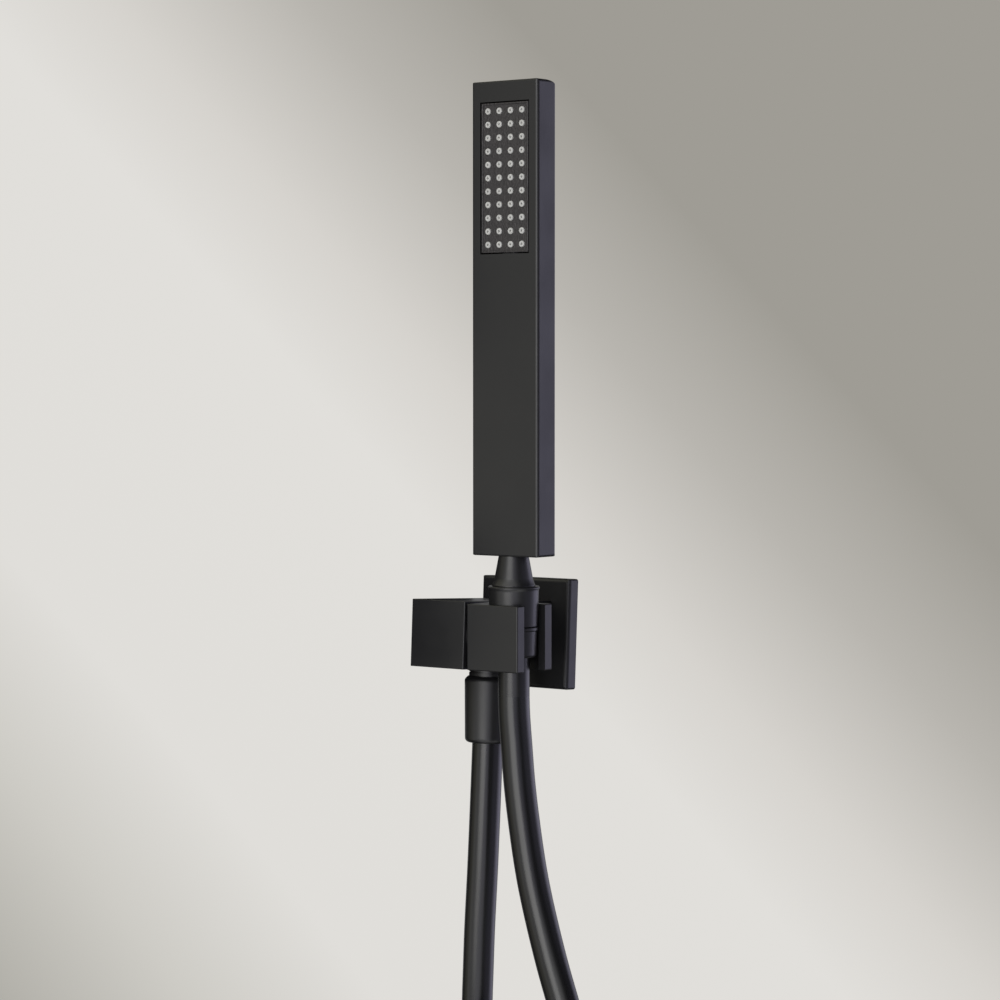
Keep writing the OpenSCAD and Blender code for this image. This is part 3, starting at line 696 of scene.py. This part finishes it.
@dataclass
class SprayInsert:
    """The grained panel in the handset's window, and the soft nozzles that come through it.

    Heights of the nozzles are counted from the panel's floor, and outwards.
    """

    lean: LeaningFrame
    materials: dict[str, bpy.types.Material]
    columns: int = 4
    rows: int = 11
    pitch_x: float = 6.45 * MM
    pitch_z: float = 6.05 * MM
    rim_width: float = 0.9 * MM
    rim_height: float = 0.4 * MM
    rim_round: float = 0.28 * MM
    hole_r: float = 1.62 * MM
    hole_depth: float = 1.0 * MM
    nozzle_r: float = 1.5 * MM
    nozzle_out: float = 0.6 * MM
    nozzle_foot: float = -0.95 * MM
    dome_width: float = 0.55 * MM
    dome_height: float = 0.5 * MM
    dome_steps: int = 5
    jet_r: float = 0.5 * MM
    jet_foot: float = -0.7 * MM
    lip_width: float = 0.12 * MM
    lip_height: float = 0.14 * MM
    jet_taper: float = 0.8
    sides: int = 24
    nozzle_sides: int = 20

    @property
    def panel(self) -> LocalBox:
        """The panel's box, its front being its rim."""
        return self.lean.box("spray_face")

    def laid_on_front(self) -> Matrix:
        """Takes a piece drawn flat, facing +Z, to the panel's face, facing the room.

        Returns:
            The matrix from the drawing to the model's frame.
        """
        face_y = self.panel.low.y + self.rim_height
        drawn = Matrix(((1, 0, 0, 0), (0, 0, -1, face_y), (0, 1, 0, self.panel.middle.z), (0, 0, 0, 1)))
        return self.lean.place @ drawn

    def reach(self, index: int, count: int, pitch: float, half: float) -> tuple[float, float, float]:
        """Places one row or column of cells.

        Args:
            index: Which row or column.
            count: How many there are.
            pitch: The distance between them.
            half: Half the size of the floor that they fill.

        Returns:
            The cell's centre, and how far it reaches below and above that.
        """
        centre = (index - (count - 1) / 2) * pitch
        below = centre + half if index == 0 else pitch / 2
        above = half - centre if index == count - 1 else pitch / 2
        return centre, below, above

    def build(self) -> list[bpy.types.Object]:
        """Makes the panel and the nozzles.

        Returns:
            The two pieces.
        """
        return [self.build_panel(), self.build_nozzles()]

    def build_panel(self) -> bpy.types.Object:
        """Makes a floor of cells with a hole in each, and a raised rim round it.

        Returns:
            The panel.
        """
        size = self.panel.size
        half_x, half_z = size.x / 2 - self.rim_width, size.z / 2 - self.rim_width
        bm = bmesh.new()
        for column in range(self.columns):
            x, left, right = self.reach(column, self.columns, self.pitch_x, half_x)
            for row in range(self.rows):
                z, down, up = self.reach(row, self.rows, self.pitch_z, half_z)
                self.add_cell(bm, Vector((x, z, 0)), (left, right), (down, up))
        bmesh.ops.remove_doubles(bm, verts=bm.verts, dist=1e-6)
        border = [e for e in bm.edges if e.is_boundary and self.on_border(e, half_x, half_z)]
        border = self.pull(bm, border, Vector((0, 0, self.rim_height)))
        inner_rim = border
        grow = Vector((size.x / 2 / half_x, size.z / 2 / half_z, 1))
        border = self.pull(bm, border, Vector(), grow)
        rims = inner_rim + border
        border = self.pull(bm, border, Vector((0, 0, -size.y)))
        bmesh.ops.contextual_create(bm, geom=border)
        bmesh.ops.bevel(bm, geom=rims, offset=self.rim_round, segments=3, profile=0.5,
                        affect="EDGES", material=-1)
        bmesh.ops.recalc_face_normals(bm, faces=bm.faces)
        keep_edges(bm, angle_deg=40)
        bmesh.ops.transform(bm, matrix=self.laid_on_front(), verts=bm.verts)
        panel = finish_mesh(bm, "spray_panel", self.materials["face_plastic"])
        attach(panel, "handset")
        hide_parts("spray_face")
        return panel

    def on_border(self, edge: bmesh.types.BMEdge, half_x: float, half_z: float) -> bool:
        """Tells whether an edge lies on the floor's outer border."""
        near = 0.01 * MM
        return all(abs(v.co.x) > half_x - near or abs(v.co.y) > half_z - near for v in edge.verts)

    def pull(self, bm: bmesh.types.BMesh, edges: list[bmesh.types.BMEdge], move: Vector,
             grow: Vector = Vector((1, 1, 1))) -> list[bmesh.types.BMEdge]:
        """Extrudes edges and moves or scales the new ones.

        Args:
            bm: The bmesh.
            edges: The edges.
            move: How far the new edges move.
            grow: How much they grow along each axis.

        Returns:
            The new edges.
        """
        new = bmesh.ops.extrude_edge_only(bm, edges=edges)["geom"]
        verts = [g for g in new if isinstance(g, bmesh.types.BMVert)]
        bmesh.ops.scale(bm, verts=verts, vec=grow)
        bmesh.ops.translate(bm, verts=verts, vec=move)
        kept = set(verts)
        return [g for g in new if isinstance(g, bmesh.types.BMEdge) and kept.issuperset(g.verts)]

    def add_cell(self, bm: bmesh.types.BMesh, centre: Vector, across: tuple[float, float],
                 along: tuple[float, float]) -> None:
        """Adds one rectangle of the floor with its blind hole.

        Args:
            bm: The bmesh.
            centre: The hole's centre.
            across: How far the cell reaches to the left and right of it.
            along: How far the cell reaches below and above it.
        """
        place = Matrix.Translation(centre)
        loops = []
        for radius in (self.hole_r, 1.0):
            ring = bmesh.ops.create_circle(bm, segments=self.sides, radius=radius, matrix=place)["verts"]
            loops.append(ring)
        for vert in loops[1]:
            spoke = vert.co - centre
            spoke /= max(abs(spoke.x), abs(spoke.y))
            vert.co = centre + Vector((spoke.x * across[spoke.x > 0], spoke.y * along[spoke.y > 0], 0))
        hole, outer = edges_at(loops[0]), edges_at(loops[1])
        bmesh.ops.bridge_loops(bm, edges=hole + outer)
        bottom = self.pull(bm, hole, Vector((0, 0, -self.hole_depth)))
        bmesh.ops.contextual_create(bm, geom=bottom)

    def build_nozzles(self) -> bpy.types.Object:
        """Makes the soft mat behind the panel and its round-topped nozzles.

        Returns:
            The nozzles and mat as one piece.
        """
        mat = self.lean.box("nozzle_mat")
        bm = bmesh.new()
        top, r = self.nozzle_out, self.nozzle_r
        profile = [(0.0, self.nozzle_foot), (r, self.nozzle_foot), (r, top - self.dome_height)]
        for i in range(1, self.dome_steps + 1):
            angle = math.pi / 2 * i / self.dome_steps
            profile.append((r - self.dome_width * (1 - math.cos(angle)),
                            top - self.dome_height * (1 - math.sin(angle))))
        profile += [(self.jet_r + self.lip_width, top), (self.jet_r, top - self.lip_height),
                    (self.jet_r * self.jet_taper, self.jet_foot), (0.0, self.jet_foot)]
        for column in range(self.columns):
            x = (column - (self.columns - 1) / 2) * self.pitch_x
            for row in range(self.rows):
                z = (row - (self.rows - 1) / 2) * self.pitch_z
                nozzle = spin_profile(bm, profile, self.nozzle_sides)
                bmesh.ops.translate(bm, verts=nozzle, vec=(x, z, 0))
        bmesh.ops.transform(bm, matrix=self.laid_on_front(), verts=bm.verts)
        place = self.lean.place @ Matrix.Translation(mat.middle)
        thick = mat.high.y - self.panel.high.y
        slab = bmesh.ops.create_cube(bm, size=1.0)["verts"]
        bmesh.ops.scale(bm, verts=slab, vec=(mat.size.x, thick, mat.size.z))
        bmesh.ops.translate(bm, verts=slab, vec=(0, mat.high.y - thick / 2 - mat.middle.y, 0))
        bmesh.ops.transform(bm, matrix=place, verts=slab)
        bmesh.ops.recalc_face_normals(bm, faces=bm.faces)
        keep_edges(bm, angle_deg=50)
        piece = finish_mesh(bm, "spray_nozzles", self.materials["nozzle_silicone"])
        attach(piece, "handset")
        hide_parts("nozzle_mat")
        return piece


# ---------- camera, stage and light ----------


class Tint(Enum):
    """The colours that the soft lights come in."""

    WHITE = "#ffffff"
    WARM = "#fffbe0"
    COOL = "#e6e3ff"


@dataclass(frozen=True)
class Glow:
    """A soft patch of light in the studio, far away.

    Its angles are from the object, to the right of the camera and above the horizon.
    """

    around_deg: float
    up_deg: float
    half_deg: float
    strength: float
    tint: Tint = Tint.WHITE


GLOWS = [
    # Shines on the flat fronts
    Glow(around_deg=-60, up_deg=-12, half_deg=32, strength=0.7),
    # Widens that to the left
    Glow(around_deg=-90, up_deg=-12, half_deg=32, strength=0.3, tint=Tint.WARM),
    # Fills the round pieces from the camera
    Glow(around_deg=0, up_deg=0, half_deg=32, strength=0.65, tint=Tint.COOL),
    # Lifts their right sides
    Glow(around_deg=75, up_deg=0, half_deg=40, strength=0.4, tint=Tint.COOL),
    # Shines on the flat right sides
    Glow(around_deg=120, up_deg=0, half_deg=32, strength=1.5, tint=Tint.COOL),
    # Skylight on the left edges
    Glow(around_deg=-90, up_deg=45, half_deg=45, strength=0.7, tint=Tint.WARM),
    # Skylight on the tops
    Glow(around_deg=-30, up_deg=45, half_deg=45, strength=1.5),
    # Bounce from behind
    Glow(around_deg=180, up_deg=0, half_deg=50, strength=0.4),
    # Bounce from the floor
    Glow(around_deg=0, up_deg=-50, half_deg=55, strength=1.3),
]


@dataclass(frozen=True)
class Flag:
    """A black card out of sight, which keeps light off what stands behind it."""

    name: str
    low_mm: tuple[float, float, float]
    high_mm: tuple[float, float, float]

    def build(self, material: bpy.types.Material) -> bpy.types.Object:
        """Makes the card.

        Args:
            material: Its finish.

        Returns:
            The card, which the camera doesn't see.
        """
        low, high = Vector(self.low_mm) * MM, Vector(self.high_mm) * MM
        bm = bmesh.new()
        card = bmesh.ops.create_cube(bm, size=1.0)["verts"]
        bmesh.ops.scale(bm, verts=card, vec=high - low)
        bmesh.ops.translate(bm, verts=card, vec=(high + low) / 2)
        flag = finish_mesh(bm, self.name, material)
        flag.visible_camera = False
        return flag


# One darkens the plate and the arm's left side, the other the upper left of the handset
FLAGS = [
    Flag("arm_flag", low_mm=(-36, -138, -26), high_mm=(-34, -4, 40)),
    Flag("handset_flag", low_mm=(-47, -142, 130), high_mm=(-45, -4, 310)),
]


@dataclass
class Studio:
    """The camera, a pale backdrop that glows with a painted light falloff, and soft lights, in metres and watts.

    The cove's painted light falloff follows how far a point lies to the right, plus shade_rise times how far it
    lies up, from a point that is shade_aside to the right of the origin and level with the camera. The
    ramp covers shade_reach to both sides of it. A glow is full inside glow_core of its half width.
    """

    azimuth_deg: float = 37.84
    distance: float = 1.50934
    roll_deg: float = 1.71
    lens_mm: float = 113.53
    sensor_mm: float = 36.0
    aside: float = -17.48 * MM
    height: float = 62.5 * MM
    key_around_deg: float = -28.0
    key_up_deg: float = 3.0
    key_away: float = 3.0
    key_size: float = 2.2
    key_watts: float = 34.0
    key_colour: str = "#fffefc"
    glow_core: float = 0.15
    cove_floor: float = -1.15
    cove_radius: float = 3.7
    cove_top: float = 4.0
    cove_bend: float = 1.2
    cove_steps: int = 12
    cove_sides: int = 96
    shade_rise: float = 0.94
    shade_aside: float = -0.02
    shade_reach: float = 1.5

    @property
    def back(self) -> Vector:
        """From the object towards the camera."""
        a = math.radians(self.azimuth_deg)
        return Vector((math.sin(a), -math.cos(a), 0))

    @property
    def right(self) -> Vector:
        """To the camera's right, level."""
        a = math.radians(self.azimuth_deg)
        return Vector((math.cos(a), math.sin(a), 0))

    def build_camera(self) -> None:
        """Places the camera level with the handset's foot, a little rolled."""
        data = bpy.data.cameras.new("camera")
        data.lens, data.sensor_width = self.lens_mm, self.sensor_mm
        camera = bpy.data.objects.new("camera", data)
        roll = math.radians(self.roll_deg)
        up = Vector((0, 0, 1))
        x = self.right * math.cos(roll) + up * math.sin(roll)
        y = up * math.cos(roll) - self.right * math.sin(roll)
        turn = Matrix((x, y, self.back)).transposed().to_4x4()
        place = self.back * self.distance + self.right * self.aside + up * self.height
        camera.matrix_world = Matrix.Translation(place) @ turn
        bpy.context.scene.collection.objects.link(camera)
        bpy.context.scene.camera = camera

    def build(self) -> None:
        """Makes the camera, backdrop and lights."""
        self.build_camera()
        self.build_backdrop()
        self.build_world()
        self.build_key()
        self.build_flags()
        bpy.context.scene.view_settings.view_transform = "Standard"

    def build_backdrop(self) -> None:
        """Makes a round cove whose floor runs up into its wall, seen only by the camera."""
        flat_r, bend = self.cove_radius - self.cove_bend, self.cove_bend
        bm = bmesh.new()
        profile = [(0.0, self.cove_floor), (flat_r, self.cove_floor)]
        for i in range(1, self.cove_steps + 1):
            a = math.pi / 2 * i / self.cove_steps
            profile.append((flat_r + bend * math.sin(a), self.cove_floor + bend * (1 - math.cos(a))))
        profile += [(self.cove_radius, self.cove_top), (0.0, self.cove_top)]
        spin_profile(bm, profile, self.cove_sides)
        bmesh.ops.reverse_faces(bm, faces=bm.faces)
        cove = finish_mesh(bm, "cove", self.cove_painted_light())
        cove.visible_diffuse = cove.visible_glossy = cove.visible_shadow = False
        cove.visible_transmission = False

    def cove_painted_light(self) -> bpy.types.Material:
        """Makes the cove's painted light: a glow that is palest in a broad slanting band and darker to both sides,
        as the studio light falls off.

        Returns:
            A material that glows by itself with this painted light, so the object's lights don't spoil its tone.
        """
        material = bpy.data.materials.new("painted_light_cove")
        material.use_nodes = True
        tree = material.node_tree
        tree.nodes.clear()
        where = add_node(tree, "ShaderNodeTexCoord").outputs["Object"]
        across = self.right + Vector((0, 0, self.shade_rise))
        start = self.right * self.shade_aside + Vector((0, 0, self.height))
        offset = add_node(tree, "ShaderNodeVectorMath", {0: where, 1: start}, operation="SUBTRACT")
        along = add_node(
            tree,
            "ShaderNodeVectorMath",
            {0: offset.outputs["Vector"], 1: across},
            operation="DOT_PRODUCT",
        )
        share = add_node(
            tree,
            "ShaderNodeMapRange",
            {"Value": along.outputs["Value"], "From Min": -self.shade_reach, "From Max": self.shade_reach},
        )
        ramp = add_node(tree, "ShaderNodeValToRGB", {"Fac": share.outputs["Result"]})
        # Painted light falloff: the glow is palest in the middle band and darker to both sides
        set_ramp(ramp, [(0.0, "#afada6"), (0.1, "#cdcbc5"), (0.2, "#e0deda"), (0.45, "#e1dfdb"),
                        (0.53, "#d6d3ce"), (0.64, "#b8b5af"), (0.75, "#9f9c95")])
        glow = add_node(tree, "ShaderNodeEmission", {"Color": ramp.outputs["Color"], "Strength": 1.0})
        add_node(tree, "ShaderNodeOutputMaterial", {"Surface": glow.outputs["Emission"]})
        return material

    def toward(self, around_deg: float, up_deg: float) -> Vector:
        """Gives a direction from the object.

        Args:
            around_deg: Its angle to the right of the camera.
            up_deg: Its angle above the horizon.

        Returns:
            A unit vector.
        """
        a, e = math.radians(around_deg), math.radians(up_deg)
        level = self.back * math.cos(a) + self.right * math.sin(a)
        return level * math.cos(e) + Vector((0, 0, math.sin(e)))

    def build_world(self) -> None:
        """Adds up the soft glows of a white studio all round the object."""
        world = bpy.data.worlds.new("studio")
        bpy.context.scene.world = world
        world.use_nodes = True
        tree = world.node_tree
        tree.nodes.clear()
        where = add_node(tree, "ShaderNodeTexCoord").outputs["Generated"]
        total = None
        for glow in GLOWS:
            facing = add_node(
                tree, "ShaderNodeVectorMath", {0: where, 1: self.toward(glow.around_deg, glow.up_deg)},
                operation="DOT_PRODUCT",
            )
            share = add_node(
                tree, "ShaderNodeMapRange",
                {"Value": facing.outputs["Value"], "From Min": math.cos(math.radians(glow.half_deg)),
                 "From Max": math.cos(math.radians(glow.half_deg * self.glow_core))},
                interpolation_type="SMOOTHSTEP",
            )
            colour = [c * glow.strength for c in srgb(glow.tint.value)[:3]]
            light = add_node(
                tree, "ShaderNodeVectorMath", {0: colour, "Scale": share.outputs["Result"]},
                operation="SCALE",
            ).outputs["Vector"]
            if total is not None:
                light = add_node(tree, "ShaderNodeVectorMath", {0: total, 1: light}).outputs["Vector"]
            total = light
        lit = add_node(tree, "ShaderNodeBackground", {"Color": total, "Strength": 1.0})
        add_node(tree, "ShaderNodeOutputWorld", {"Surface": lit.outputs["Background"]})

    def build_key(self) -> None:
        """Hangs one large round soft box level with the handset, to the camera's left."""
        data = bpy.data.lights.new("key", "AREA")
        data.shape, data.size, data.energy = "DISK", self.key_size, self.key_watts
        data.color = srgb(self.key_colour)[:3]
        key = bpy.data.objects.new("key", data)
        aim = Vector((0, 0, self.height))
        place = aim + self.toward(self.key_around_deg, self.key_up_deg) * self.key_away
        turn = (place - aim).to_track_quat("Z", "Y").to_matrix().to_4x4()
        key.matrix_world = Matrix.Translation(place) @ turn
        key.visible_camera = False
        bpy.context.scene.collection.objects.link(key)

    def build_flags(self) -> None:
        """Stands the black cards to the left of the object."""
        material = bpy.data.materials.new("black_felt")
        material.use_nodes = True
        shader = material.node_tree.nodes["Principled BSDF"]
        shader.inputs["Base Color"].default_value = srgb("#050505")
        shader.inputs["Roughness"].default_value = 1.0
        for flag in FLAGS:
            flag.build(material)


def dress_nodes(materials: dict[str, bpy.types.Material]) -> None:
    """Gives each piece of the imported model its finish.

    Args:
        materials: The finishes by slot.
    """
    for row in frame["record"]["subparts"]:
        node = frame["nodes"][row["node"]]
        node.data.materials.clear()
        node.data.materials.append(materials[row["material_slot"]])
        log.info("dressed %s in %s", row["node"], row["material_slot"])


def main() -> None:
    """Builds everything in order."""
    logging.basicConfig(level=logging.INFO, format="%(message)s")
    materials = {slot: finish.build() for slot, finish in FINISHES.items()}
    Studio().build()
    lean = LeaningFrame.of_handset()
    dress_nodes(materials)
    for part in (Hose(lean, materials), ValveSpring(materials), SprayInsert(lean, materials)):
        for piece in part.build():
            log.info("built %s", piece.name)


if __name__ == "__main__":
    main()
